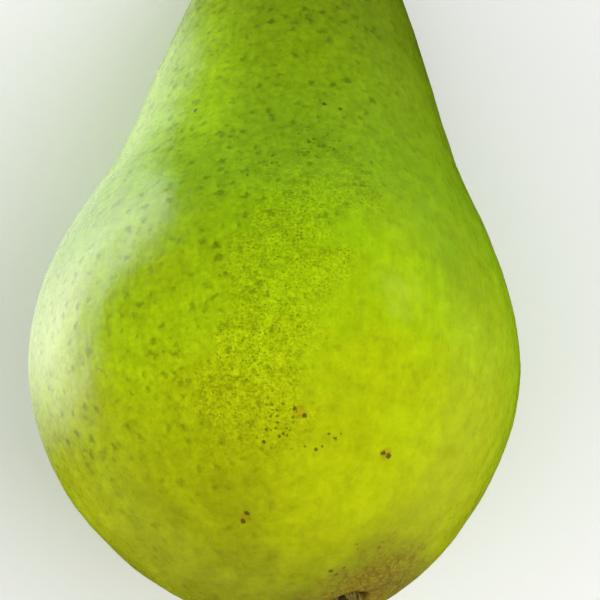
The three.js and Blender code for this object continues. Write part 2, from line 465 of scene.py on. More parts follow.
def make_sepal(name, length, width, draws):
    deselect()
    bpy.ops.mesh.primitive_grid_add(
        x_subdivisions=6, y_subdivisions=SEPAL_ROWS, size=1, location=(0, 0.5, 0))
    piece = bpy.context.object
    piece.name = piece.data.name = name
    bpy.ops.object.transform_apply()
    piece.scale = (width, length, 1)
    bpy.ops.object.transform_apply()
    curl = draws.uniform(0.7, 1.35)
    lean = draws.uniform(-0.35, 0.35)
    for row in range(SEPAL_ROWS + 1):
        along = row / SEPAL_ROWS
        narrow = 0.10 + 0.90 * (1 - along ** 2.2) * (0.72 + 0.28 * math.sin(math.pi * min(along * 2, 1)))
        choose(piece, lambda p: abs(p.y - along * length) < 0.01 * MM)
        bpy.ops.transform.resize(value=(narrow, 1, 1), center_override=(0, 0, 0))
        bpy.ops.transform.translate(value=(lean * along ** 2 * MM, 0, curl * along ** 3 * 1.5 * MM))
    for share, lift in ((0.2, 0.10), (0.35, 0.16)):
        choose(piece, lambda p: abs(p.x) > share * width)
        bpy.ops.transform.translate(value=(0, 0, -lift * MM))
    bpy.ops.object.mode_set(mode="OBJECT")
    subdivide(piece, 1)
    crinkles = unevenness(name + "_crinkles", draws.uniform(0.8, 1.1) * MM, 2)
    modify(piece, "DISPLACE", texture=crinkles, strength=0.55 * MM)
    modify(piece, "SOLIDIFY", thickness=0.28 * MM, offset=0)
    subdivide(piece, 2)
    remember_place(piece)
    return piece


# %% [markdown]
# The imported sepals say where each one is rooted, how tall it stands, and which way is outwards there. A
# seeded source of random numbers gives each its own width, lean and curl, the same ones every time.

# %% Five sepals on the rim
SEED = 5
draws = random.Random(SEED)
sepals = []
for i in range(1, 6):
    node = f"sepal_{i}"
    points = cad_points(node)
    heights = [(p - flower_mouth).dot(tube_out) for p in points]
    low, high = min(heights), max(heights)
    root = middle_of([p for p, h in zip(points, heights) if h < low + 0.4 * MM])
    side = root - flower_mouth
    side = (side - side.dot(tube_out) * tube_out).normalized()
    sepal = make_sepal(f"dry_sepal_{i}", high - low, draws.uniform(2.1, 2.6) * MM, draws)
    set_down(sepal, axes_at(root, tube_out, side))
    finish_piece(sepal, node)
    sepals.append(sepal)

# %% [markdown]
# Inside the tube stand the stamens: thin dark threads on a low cushion, and a few still hold the shrivelled
# anther that carried the pollen. One thread is a narrow tube whose rings wander a little to one side, and a
# loop draws them all in two circles. They are joined into one piece, as they dried into one tuft.

# %% The tuft of stamens
STAMENS = 16
points = cad_points("stamens")
heights = [(p - flower_mouth).dot(tube_out) for p in points]
tuft_low, tuft_high = min(heights), max(heights)
tuft_axes = axes_at(flower_mouth + tube_out * tuft_low, tube_out, side)
tuft_height = tuft_high - tuft_low

CUSHION_RINGS = [(2.2, 0.0), (2.3, 0.25), (1.9, 0.6), (1.0, 0.8)]  # radius, height, in mm
THREAD_RINGS = [  # share of the thread's length, radius in mm
    (0.0, 0.19),
    (0.3, 0.14),
    (0.62, 0.11),
    (0.82, 0.10),
    (0.9, 0.26),
    (0.97, 0.22),
    (1.0, 0.06),
]
cushion = draw_rings("stamen_tuft", [(r * MM, 0, y * MM, 0) for r, y in CUSHION_RINGS], 16)
close_holes(cushion)
threads = [cushion]
for i in range(STAMENS):
    angle = 2 * math.pi * (i + draws.uniform(-0.3, 0.3)) / STAMENS
    out = (1.55 if i % 2 else 0.95) * MM
    reach = draws.uniform(0.72, 0.97) * tuft_height
    bend = draws.uniform(-0.55, 0.45) * MM
    has_anther = draws.random() < 0.6
    rings = []
    for share, radius in THREAD_RINGS:
        if share > 0.85 and not has_anther:
            radius = 0.10 * (1.08 - share) / 0.2
        away = out + bend * share ** 2
        wander = 0.25 * MM * math.sin(4 * share + i)
        rings.append((radius * MM, away * math.cos(angle) - wander * math.sin(angle), reach * share,
                      away * math.sin(angle) + wander * math.cos(angle)))
    thread = draw_rings(f"thread_{i}", rings, 6)
    close_holes(thread)
    threads.append(thread)
deselect()
for thread in threads:
    thread.select_set(True)
bpy.context.view_layer.objects.active = cushion
bpy.ops.object.join()
subdivide(cushion, 1)
remember_place(cushion)
set_down(cushion, tuft_axes)
finish_piece(cushion, "stamens")

# %% [markdown]
# ## Tools for materials
#
# Every finish here is worked out by nodes from a point's place in millimetres, so the size of a fleck or a
# streak can be measured on a real fruit with a ruler and typed in. Small helpers keep the node trees short:
# one adds a node and feeds its sockets, and the others stand for the sums that come up over and over.

# %% Adding nodes
def put(tree, kind, feeds=None, **settings):
    """Adds a shader node. feeds holds a value, or another node's output, for each input that it sets."""
    node = tree.nodes.new("ShaderNode" + kind)
    for setting, value in settings.items():
        setattr(node, setting, value)
    for socket, value in (feeds or {}).items():
        if isinstance(value, bpy.types.NodeSocket):
            tree.links.new(value, node.inputs[socket])
        else:
            node.inputs[socket].default_value = value
    return node


def calc(tree, operation, *values):
    return put(tree, "Math", dict(enumerate(values)), operation=operation).outputs[0]


def product(tree, first, *others):
    for other in others:
        first = calc(tree, "MULTIPLY", first, other)
    return first


def fade(tree, value, start, end, low=0.0, high=1.0):
    """A soft step that goes from low to high as the value goes from start to end, either way round."""
    node = put(tree, "MapRange", {"Value": value, "From Min": start, "From Max": end,
                                  "To Min": low, "To Max": high}, interpolation_type="SMOOTHSTEP")
    return node.outputs["Result"]


def blend(tree, share, first, second):
    """A mix of two colours, all first where the share is 0 and all second where it is 1."""
    return put(tree, "Mix", {0: share, 6: first, 7: second}, data_type="RGBA").outputs[2]


def dim(tree, colour, amount):
    """The colour made lighter or darker by a factor."""
    return put(tree, "VectorMath", {0: colour, "Scale": amount}, operation="SCALE").outputs[0]


def ramp(tree, value, stops):
    """A colour ramp. stops holds (position, colour) pairs, in order."""
    node = put(tree, "ValToRGB", {0: value})
    elements = node.color_ramp.elements
    while len(elements) < len(stops):
        elements.new(1.0)
    for element, (position, colour) in zip(elements, stops):
        element.position = position
        element.color = (*colour, 1)
    return node.outputs["Color"]


# %% [markdown]
# Three more helpers start a material, give it the fruit's own axes in millimetres, and warp a place, so that
# what is drawn with it gets ragged edges.

# %% Starting a material
def new_material(name):
    """A new material, with its node tree and its shader."""
    material = bpy.data.materials.new(name)
    material.use_nodes = True
    return material, material.node_tree, material.node_tree.nodes["Principled BSDF"]


def fruit_place(tree):
    """The point's place in mm on the fruit's own axes: Y up the middle line, Z on the side facing up."""
    place = put(tree, "TexCoord").outputs["Object"]
    return put(tree, "Mapping", {"Vector": place, "Location": from_table.translation / MM,
                                 "Rotation": (tilt, 0, 0), "Scale": (1 / MM, 1 / MM, 1 / MM)}).outputs[0]


def warp(tree, place, size, amount):
    """The place moved by up to half the amount each way, in waves of the given size, both in mm."""
    wave = put(tree, "TexNoise", {"Vector": place, "Scale": 1 / size, "Detail": 2.0}).outputs["Color"]
    shift = put(tree, "VectorMath", {0: wave, 1: (0.5, 0.5, 0.5)}, operation="SUBTRACT").outputs[0]
    return put(tree, "VectorMath", {0: shift, 1: (amount, amount, amount), 2: place},
               operation="MULTIPLY_ADD").outputs[0]


# %% [markdown]
# Four effects turn up again and again, so each is a node group that is built once. `patches` gives soft
# clouds, `spots` scatters round flecks, `streaks` draws fine lines along Y, as on a stalk's fibres, and
# `mark` is a single spot at a chosen place. A group is used instead of a copy of the same nodes, so the
# skin, the wood and the dry flower share one recipe, each with its own numbers.

# %% Node groups for patches and streaks
def new_group(name, inputs, output="Mask"):
    """inputs holds each socket's (name, kind). Gives the group and its inner input and output sockets."""
    group = bpy.data.node_groups.new(name, "ShaderNodeTree")
    for label, kind in inputs:
        group.interface.new_socket(label, in_out="INPUT", socket_type="NodeSocket" + kind)
    group.interface.new_socket(output, in_out="OUTPUT", socket_type="NodeSocketFloat")
    return group, group.nodes.new("NodeGroupInput").outputs, group.nodes.new("NodeGroupOutput").inputs


def use(tree, group, **feeds):
    node = tree.nodes.new("ShaderNodeGroup")
    node.node_tree = group
    for socket, value in feeds.items():
        if isinstance(value, bpy.types.NodeSocket):
            tree.links.new(value, node.inputs[socket])
        else:
            node.inputs[socket].default_value = value
    return node.outputs[0]


patches, taken, given = new_group("patches", (("Vector", "Vector"), ("Size", "Float"),
                                              ("Sharpness", "Float")))
scale = calc(patches, "DIVIDE", 1.0, taken["Size"])
noise = put(patches, "TexNoise", {"Vector": taken["Vector"], "Scale": scale,
                                  "Detail": 3.0, "Roughness": 0.55}).outputs[0]
reach = calc(patches, "DIVIDE", 0.25, taken["Sharpness"])
cloud = fade(patches, noise, calc(patches, "SUBTRACT", 0.5, reach), calc(patches, "ADD", 0.5, reach))
patches.links.new(cloud, given["Mask"])

streaks, taken, given = new_group("streaks", (("Vector", "Vector"), ("Width", "Float"),
                                              ("Length", "Float")))
stretch = put(streaks, "CombineXYZ", {0: taken["Width"], 1: taken["Length"], 2: taken["Width"]}).outputs[0]
squeezed = put(streaks, "VectorMath", {0: taken["Vector"], 1: stretch}, operation="DIVIDE").outputs[0]
lines = put(streaks, "TexNoise", {"Vector": squeezed, "Scale": 1.0, "Detail": 4.0,
                                  "Roughness": 0.6}).outputs[0]
streaks.links.new(fade(streaks, lines, 0.32, 0.68), given["Mask"])
print("node groups:", patches.name, "and", streaks.name)

# %% [markdown]
# A fleck is drawn by how far a point is from the middle of its cell. Each cell also has its own random
# colour, and two parts of it are used as luck: one for the fleck's size, and one for whether it is there.

# %% Node groups for spots and marks
spots, taken, given = new_group("spots", (("Vector", "Vector"), ("Spacing", "Float"), ("Radius", "Float"),
                                          ("Softness", "Float"), ("Share", "Float")))
cells = put(spots, "TexVoronoi", {"Vector": taken["Vector"],
                                  "Scale": calc(spots, "DIVIDE", 1.0, taken["Spacing"])})
luck = put(spots, "SeparateColor", {0: cells.outputs["Color"]})
radius = calc(spots, "MULTIPLY", taken["Radius"], calc(spots, "MULTIPLY_ADD", luck.outputs[0], 0.9, 0.55))
distance = calc(spots, "MULTIPLY", cells.outputs["Distance"], taken["Spacing"])
spot = fade(spots, distance, calc(spots, "ADD", radius, taken["Softness"]),
            calc(spots, "SUBTRACT", radius, taken["Softness"]))
there = calc(spots, "LESS_THAN", luck.outputs[1], taken["Share"])
spots.links.new(calc(spots, "MULTIPLY", spot, there), given["Mask"])

mark, taken, given = new_group("mark", (("Vector", "Vector"), ("Place", "Vector"), ("Radius", "Float"),
                                        ("Softness", "Float")))
distance = put(mark, "VectorMath", {0: taken["Vector"], 1: taken["Place"]},
               operation="DISTANCE").outputs["Value"]
outer = calc(mark, "ADD", taken["Radius"], taken["Softness"])
inner = calc(mark, "SUBTRACT", taken["Radius"], taken["Softness"])
mark.links.new(fade(mark, distance, outer, inner), given["Mask"])
print("node groups:", spots.name, "and", mark.name)

# %% [markdown]
# ## The skin
#
# Seen from far off the skin is green, but it is really a yellow layer under a green one that thins towards
# the flower end: deep green on the neck, yellow-green on the belly and olive-yellow at the base. Over that
# lie soft clouds, dark lenticels, a belt of fine dots down the middle of the upper side, faint streaks up
# the middle line, a few scabs, and brown corky russet round both ends. It is built up in the same order:
# first one smooth colour along the fruit, and then a factor that every fleck and cloud makes darker.

# %% Ground colour along the fruit
skin, tree, shader = new_material("pear_skin")
place = fruit_place(tree)
x, y, z = put(tree, "SeparateXYZ", {0: place}).outputs
LOW, HIGH = -36.0, 60.0
GROUND = [  # height in mm, colour
    (-35, (0.340, 0.372, 0.002)),
    (-31, (0.385, 0.430, 0.002)),
    (-26, (0.430, 0.495, 0.001)),
    (-20, (0.430, 0.505, 0.001)),
    (-12, (0.405, 0.515, 0.001)),
    (-4, (0.360, 0.515, 0.001)),
    (4, (0.330, 0.510, 0.001)),
    (12, (0.290, 0.495, 0.001)),
    (20, (0.265, 0.480, 0.001)),
    (30, (0.265, 0.455, 0.001)),
    (42, (0.245, 0.405, 0.001)),
    (58, (0.225, 0.360, 0.001)),
]
drift = use(tree, patches, Vector=place, Size=11.0, Sharpness=1.0)
height = calc(tree, "ADD", y, fade(tree, drift, 0.0, 1.0, -4.0, 4.0))
along = put(tree, "MapRange", {"Value": height, "From Min": LOW, "From Max": HIGH}).outputs[0]
ground = ramp(tree, along, [((h - LOW) / (HIGH - LOW), colour) for h, colour in GROUND])
print("ground colours every", round((HIGH - LOW) / len(GROUND)), "mm or so")

# %% [markdown]
# The fruit isn't the same all round. The belly is lighter on its right, and the base is duller near the
# flower.
# Other areas are painted light and shade: the neck's left side and the lower left rim are painted lighter, as
# if lit from the left, the lower left of the belly is painted in shade, and a dark patch on the right
# shoulder is a painted shadow. Each such area is a mask made of soft steps across and up. One wide step per
# side would be simpler, but these areas overlap, as they do on real skin.

# %% Lighter and darker areas
def distance_to(point):
    return put(tree, "VectorMath", {0: place, 1: point}, operation="DISTANCE").outputs["Value"]


neck = fade(tree, y, 6.0, 34.0)
right = fade(tree, x, -8.0, 22.0)
# painted light: the neck's left side is made lighter, as if lit from the left
left_neck_painted_light = product(tree, fade(tree, y, 12.0, 32.0), fade(tree, x, -1.0, -10.0))
right_neck = product(tree, neck, right)
right_belly = product(tree, calc(tree, "SUBTRACT", 1.0, neck), right)
# painted shade: the lower left of the belly is made darker, as if in shade
low_left_painted_shade = product(tree, fade(tree, y, -10.0, -22.0), fade(tree, x, 2.0, -10.0),
                   fade(tree, x, -25.0, -17.0), fade(tree, y, -33.0, -26.0))
# painted shadow: a darker patch on the right shoulder, where a shadow falls on the skin
right_shoulder_painted_shadow = use(tree, mark, Vector=warp(tree, place, 4.0, 8.0), Place=(25.0, 7.0, 23.0),
                     Radius=6.0, Softness=6.0)
neck_patch = use(tree, mark, Vector=warp(tree, place, 4.0, 9.0), Place=(5.0, 22.0, 27.0),
                 Radius=4.5, Softness=4.5)
top_right = product(tree, fade(tree, y, 34.0, 48.0), right)
left_rim = product(tree, fade(tree, x, -17.0, -30.0), fade(tree, y, -20.0, 6.0))
# painted light: the lower left rim, turning down to the table, is made lighter, as if lit from the left
low_rim_painted_light = product(tree, fade(tree, x, -8.0, -17.0), fade(tree, z, 16.0, 5.0), fade(tree, y, 2.0, -20.0))
near_flower = fade(tree, distance_to(calyx / MM), 16.0, 8.0)
print("the skin has", len(tree.nodes), "nodes for its ground")

# %% [markdown]
# The lenticels are the skin's breathing pores. They are most plentiful on the left shoulder and the neck,
# and only a belt up the middle of the upper side has the finest dots. Two kinds of cloud and faint streaks
# keep the ground between them from looking flat.

# %% Clouds, lenticels and the dotted belt
spot_place = warp(tree, place, 0.9, 1.7)
fine_place = warp(tree, place, 0.35, 0.4)
belt_middle = calc(tree, "MULTIPLY_ADD", y, 0.28, 1.4)
off_belt = calc(tree, "ABSOLUTE", calc(tree, "SUBTRACT", x, belt_middle))
off_belt = calc(tree, "ADD", off_belt, fade(tree, drift, 0.0, 1.0, -4.0, 4.0))
belt = product(tree, fade(tree, off_belt, 12.5, 1.5), fade(tree, z, 0.0, 12.0),
               fade(tree, y, 32.0, 6.0), fade(tree, y, -29.0, -13.0))
fine = put(tree, "TexNoise", {"Vector": place, "Scale": 2.5, "Detail": 2.0, "Roughness": 0.7}).outputs[0]
pores = use(tree, spots, Vector=fine_place, Spacing=0.48, Radius=0.12, Softness=0.08, Share=0.75)
grain = product(tree, calc(tree, "SUBTRACT", fine, 0.5), fade(tree, belt, 0.0, 1.0, 0.2, 1.5))
plenty = fade(tree, calc(tree, "ADD", x, fade(tree, y, 0.0, 20.0, 0.0, -16.0)), 10.0, -6.0, 0.3, 1.0)
plenty = product(tree, plenty, fade(tree, y, -30.0, -12.0, 0.5, 1.0))
lenticels = use(tree, spots, Vector=spot_place, Spacing=1.75, Radius=0.4, Softness=0.38, Share=0.8)
freckles = use(tree, spots, Vector=fine_place, Spacing=0.95, Radius=0.17, Softness=0.1, Share=0.35)
clouds = use(tree, patches, Vector=place, Size=2.6, Sharpness=0.9)
mottle = use(tree, patches, Vector=place, Size=0.9, Sharpness=0.7)
swathes = use(tree, streaks, Vector=place, Width=1.1, Length=13.0)
print("the skin has", len(tree.nodes), "nodes so far")

# %% [markdown]
# Each mask now gives a factor near one, below one to darken and above one to lighten, and all the factors
# are multiplied. Mixing in a darker colour for each would need a colour for each, and where two overlap the
# upper one would hide the lower, while factors work as layers of pigment do. Four of the factors are painted
# light and shade instead of pigment: for the neck's left side, the lower left, the right shoulder and the
# lower left rim. Only the finest dots have a colour of their own, a deep green.

# %% All the factors together
def factor(mask, amount):
    """One where the mask is 0, and one plus the amount where it is 1."""
    return calc(tree, "MULTIPLY_ADD", mask, amount, 1.0)


parts = (
    factor(calc(tree, "SUBTRACT", drift, 0.5), 0.12),
    factor(calc(tree, "SUBTRACT", clouds, 0.5), -0.22),
    factor(product(tree, calc(tree, "SUBTRACT", mottle, 0.5), plenty), -0.38),
    factor(calc(tree, "SUBTRACT", swathes, 0.5), 0.07),
    factor(grain, 1.0),
    factor(product(tree, lenticels, plenty), -0.42),
    factor(product(tree, freckles, plenty, clouds), -0.35),
    # painted light on the neck's left side
    factor(left_neck_painted_light, 0.55),
    factor(right_neck, -0.12),
    factor(top_right, -0.20),
    factor(right_belly, 0.12),
    # painted shade on the lower left of the belly
    factor(low_left_painted_shade, -0.14),
    factor(neck_patch, -0.12),
    # painted shadow on the right shoulder
    factor(right_shoulder_painted_shadow, -0.2),
    factor(left_rim, -0.11),
    # painted light on the lower left rim
    factor(low_rim_painted_light, 0.22),
    factor(near_flower, -0.28),
)
colour = dim(tree, ground, product(tree, *parts))
colour = blend(tree, fade(tree, product(tree, pores, belt), 0.0, 1.0, 0.0, 0.8), colour,
               (0.150, 0.235, 0.001, 1))
print(len(parts), "factors multiply the ground colour")

# %% [markdown]
# Scabs and dots come next. Each has its place in mm across, up the middle line and outwards, and only the
# first two matter to the eye: the third puts it near the skin.

# %% Scabs, dots, and a dull rub with a painted highlight
DARK_DOTS = [  # x, y, z, radius, in mm
    (7.0, 30.2, 24.6, 0.32),
    (9.2, 29.7, 24.2, 0.28),
    (6.4, 30.9, 24.6, 0.16),
    (-11.0, 30.6, 21.9, 0.3),
    (-3.4, -28.2, 20.2, 0.38),
    (-4.0, -29.2, 19.3, 0.42),
    (15.5, -21.1, 22.6, 0.42),
    (14.7, -20.8, 23.1, 0.34),
    (4.2, -17.8, 29.1, 0.32),
    (2.9, -17.0, 29.7, 0.3),
    (7.4, -19.6, 27.2, 0.2),
    (8.3, -20.1, 26.7, 0.26),
    (9.0, -19.5, 26.8, 0.18),
    (5.7, -21.5, 26.3, 0.24),
    (6.5, -21.0, 26.4, 0.18),
    (4.3, -21.2, 26.7, 0.16),
    (0.9, -20.2, 27.8, 0.22),
    (-1.2, -20.9, 27.4, 0.26),
    (1.8, -19.1, 28.3, 0.2),
    (7.8, -33.4, 11.1, 0.34),
    (8.6, -33.5, 10.1, 0.26),
    (9.6, -32.8, 11.0, 0.24),
]


def marks_at(places, warped, softness):
    """One mask with a mark at each (x, y, z, radius), the strongest wherever two overlap."""
    total = 0.0
    for *middle, size in places:
        one = use(tree, mark, Vector=warped, Place=middle, Radius=size, Softness=softness)
        total = calc(tree, "MAXIMUM", total, one)
    return total


HALOS = [  # x, y, z, radius, in mm
    (15.0, -20.9, 22.9, 0.9),
    (3.6, -17.3, 29.4, 0.8),
    (-3.7, -28.7, 19.8, 0.7),
]
CLUSTERS = [  # x, y, z, radius, in mm
    (6.1, 22.6, 28.0, 4.4),
    (-2.0, 18.0, 30.6, 3.6),
    (0.6, -19.0, 28.5, 3.6),
]
frayed = warp(tree, place, 0.3, 0.55)
dots = marks_at(DARK_DOTS, frayed, 0.12)
halos = marks_at(HALOS, frayed, 0.5)
clusters = marks_at(CLUSTERS, spot_place, 1.8)
pinpricks = use(tree, spots, Vector=fine_place, Spacing=0.7, Radius=0.16, Softness=0.09, Share=0.6)
# a dull patch on the upper right of the belly, whose paler colour is a painted highlight
rub_and_painted_highlight = use(tree, mark, Vector=warp(tree, place, 3.0, 8.0), Place=(16.6, -0.5, 30.7), Radius=2.8, Softness=2.6)
colour = dim(tree, colour, factor(product(tree, pinpricks, clusters), -0.6))
colour = blend(tree, fade(tree, rub_and_painted_highlight, 0.0, 1.0, 0.0, 0.3), colour, (0.50, 0.64, 0.05, 1))
colour = blend(tree, fade(tree, halos, 0.0, 1.0, 0.0, 0.5), colour, (0.38, 0.20, 0.006, 1))
colour = blend(tree, fade(tree, dots, 0.0, 1.0, 0.0, 0.8), colour, (0.055, 0.045, 0.003, 1))
print(len(DARK_DOTS), "dots,", len(HALOS), "halos and", len(CLUSTERS), "clusters")

# %% [markdown]
# Russet is thin cork. It spreads from the flower end and from the stalk's pit in a ragged patch, with loose
# flecks at its rim, and where it has cracked it makes a fine net. The patch reaches further on the right.

# %% Russet round both ends
ragged = put(tree, "TexNoise", {"Vector": place, "Scale": 0.35, "Detail": 5.0, "Roughness": 0.62}).outputs[0]
from_flower = calc(tree, "ADD", distance_to(calyx / MM), calc(tree, "MULTIPLY_ADD", ragged, 12.0, -6.0))
from_flower = calc(tree, "SUBTRACT", from_flower, fade(tree, x, 0.0, 20.0, -2.5, 3.0))
from_stalk = calc(tree, "ADD", distance_to(foot / MM), calc(tree, "MULTIPLY_ADD", ragged, 7.0, -3.5))
cork = calc(tree, "MAXIMUM", fade(tree, from_flower, 13.5, 5.5), fade(tree, from_stalk, 7.5, 3.0))
net_place = warp(tree, place, 1.3, 1.6)
net = put(tree, "TexVoronoi", {"Vector": net_place, "Scale": 0.95}, feature="DISTANCE_TO_EDGE").outputs[0]
net = fade(tree, calc(tree, "MULTIPLY_ADD", ragged, 0.25, net), 0.3, 0.12)
crumbs = use(tree, patches, Vector=place, Size=0.7, Sharpness=1.6)
flecks = use(tree, spots, Vector=spot_place, Spacing=1.3, Radius=0.3, Softness=0.15, Share=0.7)
cork_rim = calc(tree, "MAXIMUM", fade(tree, from_flower, 17.0, 11.0), fade(tree, from_stalk, 10.0, 6.0))
cork = calc(tree, "MAXIMUM", cork, product(tree, flecks, cork_rim))
cork_colour = blend(tree, crumbs, (0.42, 0.315, 0.004, 1), (0.32, 0.20, 0.003, 1))
cork_colour = blend(tree, fade(tree, net, 0.0, 1.0, 0.0, 0.6), cork_colour, (0.14, 0.080, 0.004, 1))
cork_cover = product(tree, cork, fade(tree, crumbs, 0.0, 1.0, 0.5, 0.9))
cork_cover = calc(tree, "MAXIMUM", cork_cover, fade(tree, from_flower, 9.0, 3.0, 0.0, 0.9))
cork_cover = calc(tree, "MAXIMUM", cork_cover, fade(tree, distance_to(calyx / MM), 7.5, 4.5, 0.0, 0.8))
colour = blend(tree, cork_cover, colour, cork_colour)

print("the skin has", len(tree.nodes), "nodes with the russet")

# %% [markdown]
# The walls of the flower tube and of the stalk's pit see little light and are brown, dry tissue. They belong
# to the same mesh as the skin, so they are found by their distance from a point inside each.

# %% Insides of the tube and the pit
tube_middle = calyx / MM - from_table.to_3x3() @ tube_out * 3.2
pit_middle = foot / MM - from_table.to_3x3() @ pit_out * 1.4
in_tube = fade(tree, distance_to(tube_middle), 3.9, 3.3)
in_pit = fade(tree, distance_to(pit_middle), 2.9, 2.2)
colour = blend(tree, in_tube, colour, (0.050, 0.028, 0.010, 1))
colour = blend(tree, in_pit, colour, (0.10, 0.070, 0.020, 1))
print("on the fruit's own axes, the tube's middle is at", [round(v, 1) for v in tube_middle])

# %% [markdown]
# The skin's gloss is broken up as well: cork and the rub are dull, and each fleck is a little duller than
# the wax round it. The same masks raise and sink the surface by a few hundredths of a millimetre.

# %% Roughness and relief
roughness = calc(tree, "MULTIPLY_ADD", cork, 0.3, 0.29)
roughness = calc(tree, "MULTIPLY_ADD", rub_and_painted_highlight, 0.12, roughness)
roughness = calc(tree, "MULTIPLY_ADD", lenticels, 0.06, roughness)
roughness = calc(tree, "MULTIPLY_ADD", calc(tree, "SUBTRACT", swathes, 0.5), 0.06, roughness)
roughness = calc(tree, "MULTIPLY_ADD", calc(tree, "MAXIMUM", dots, in_tube), 0.2, roughness)

relief = calc(tree, "MULTIPLY", grain, 0.8)
relief = calc(tree, "MULTIPLY_ADD", lenticels, -0.35, relief)
relief = calc(tree, "MULTIPLY_ADD", swathes, 0.25, relief)
relief = calc(tree, "MULTIPLY_ADD", dots, 0.9, relief)
relief = calc(tree, "MULTIPLY_ADD", product(tree, cork, crumbs), 0.7, relief)
relief = calc(tree, "MULTIPLY_ADD", product(tree, cork, net), -0.6, relief)
bump = put(tree, "Bump", {"Height": relief, "Strength": 0.6, "Distance": 0.06 * MM})

shader.inputs["Specular IOR Level"].default_value = 0.35
tree.links.new(colour, shader.inputs["Base Color"])
tree.links.new(roughness, shader.inputs["Roughness"])
tree.links.new(bump.outputs["Normal"], shader.inputs["Normal"])
fruit.data.materials.append(skin)
print("the skin has", len(tree.nodes), "nodes")

# %% [markdown]
# ## The stalk's wood and the dry flower
#
# These finishes read each point's straight place, so the fibres still run along the piece after it was bent
# and set down. The wood is olive-brown and darker towards the broken end, with fine dark fibres, a corky
# green foot, and the pale raised pores that every young twig has.

# %% Wood of the stalk
def straight_place(tree):
    return put(tree, "Attribute", attribute_name="straight").outputs["Vector"]


wood, tree, shader = new_material("stalk_wood")
place = straight_place(tree)
along = put(tree, "SeparateXYZ", {0: place}).outputs[1]
wander = use(tree, patches, Vector=place, Size=2.2, Sharpness=1.0)
length = calc(tree, "ADD", along, fade(tree, wander, 0.0, 1.0, -2.0, 2.0))
WOOD_LENGTH = 27.0
wood_colour = ramp(tree, calc(tree, "DIVIDE", length, WOOD_LENGTH), [
    (0.00, (0.200, 0.200, 0.022)),
    (0.10, (0.170, 0.140, 0.028)),
    (0.45, (0.150, 0.100, 0.028)),
    (0.80, (0.105, 0.066, 0.024)),
    (0.93, (0.070, 0.042, 0.018)),
    (1.00, (0.150, 0.095, 0.042)),
])
fibres = use(tree, streaks, Vector=place, Width=0.22, Length=5.0)
bark = use(tree, patches, Vector=place, Size=0.5, Sharpness=1.3)
twig_pores = use(tree, spots, Vector=warp(tree, place, 0.5, 0.4), Spacing=1.5, Radius=0.16,
                 Softness=0.07, Share=0.6)
wood_light = product(tree, fade(tree, fibres, 0.0, 1.0, 0.62, 1.3), fade(tree, bark, 0.0, 1.0, 0.8, 1.15))
wood_colour = blend(tree, fade(tree, twig_pores, 0.0, 1.0, 0.0, 0.75), dim(tree, wood_colour, wood_light),
                    (0.30, 0.22, 0.10, 1))
wood_relief = calc(tree, "MULTIPLY_ADD", twig_pores, 1.2, fibres)
wood_relief = calc(tree, "MULTIPLY_ADD", bark, 0.4, wood_relief)
bump = put(tree, "Bump", {"Height": wood_relief, "Strength": 0.7, "Distance": 0.09 * MM})
tree.links.new(wood_colour, shader.inputs["Base Color"])
tree.links.new(fade(tree, fibres, 0.0, 1.0, 0.72, 0.52), shader.inputs["Roughness"])
tree.links.new(bump.outputs["Normal"], shader.inputs["Normal"])
stalk.data.materials.append(wood)
print("the stalk's wood has", len(tree.nodes), "nodes")

# %% [markdown]
# Dry sepals are like old paper: tan, with brown edges and veins that run to the tip. The threads are nearly
# black at the foot and tan where the anthers are.

# %% Sepals and stamens
def dry_material(name, size, stops, vein_width, roughness):
    """stops is the colour from the foot to the tip of a piece of the given size, in mm."""
    material, tree, shader = new_material(name)
    place = straight_place(tree)
    along = put(tree, "SeparateXYZ", {0: place}).outputs[1]
    stain = use(tree, patches, Vector=place, Size=0.9, Sharpness=1.1)
    share = calc(tree, "DIVIDE", calc(tree, "ADD", along, fade(tree, stain, 0.0, 1.0, -0.7, 0.7)), size)
    veins = use(tree, streaks, Vector=place, Width=vein_width, Length=2.5)
    specks = use(tree, spots, Vector=warp(tree, place, 0.3, 0.3), Spacing=0.6, Radius=0.12, Softness=0.06,
                 Share=0.5)
    light = product(tree, fade(tree, veins, 0.0, 1.0, 0.6, 1.3), fade(tree, stain, 0.0, 1.0, 1.15, 0.8),
                    fade(tree, specks, 0.0, 1.0, 1.0, 0.45))
    relief = calc(tree, "MULTIPLY_ADD", specks, -0.4, veins)
    bump = put(tree, "Bump", {"Height": relief, "Strength": 0.7, "Distance": 0.06 * MM})
    tree.links.new(dim(tree, ramp(tree, share, stops), light), shader.inputs["Base Color"])
    dullness = fade(tree, veins, 0.0, 1.0, roughness + 0.1, roughness - 0.08)
    tree.links.new(dullness, shader.inputs["Roughness"])
    tree.links.new(bump.outputs["Normal"], shader.inputs["Normal"])
    return material


dry_sepal = dry_material("dry_sepal", 4.2, [
    (0.0, (0.120, 0.085, 0.018)),
    (0.35, (0.250, 0.190, 0.040)),
    (0.75, (0.400, 0.315, 0.090)),
    (1.0, (0.190, 0.115, 0.030)),
], 0.2, 0.72)
for sepal in sepals:
    sepal.data.materials.append(dry_sepal)
cushion.data.materials.append(dry_material("dry_stamen", 4.2, [
    (0.0, (0.030, 0.018, 0.010)),
    (0.5, (0.075, 0.048, 0.022)),
    (0.85, (0.140, 0.095, 0.035)),
    (1.0, (0.300, 0.220, 0.080)),
], 0.12, 0.8))
print("finishes:", [material.name for material in bpy.data.materials])

# %% [markdown]
# ## Floor and lights
#
# The pear lies on plain pale paper. A sheet with a curved back would hide the horizon, but a big flat plane
# is enough here, as the camera looks down. It is kept out of reflections, because pale paper mirrored in
# the waxy skin would wash out its green.

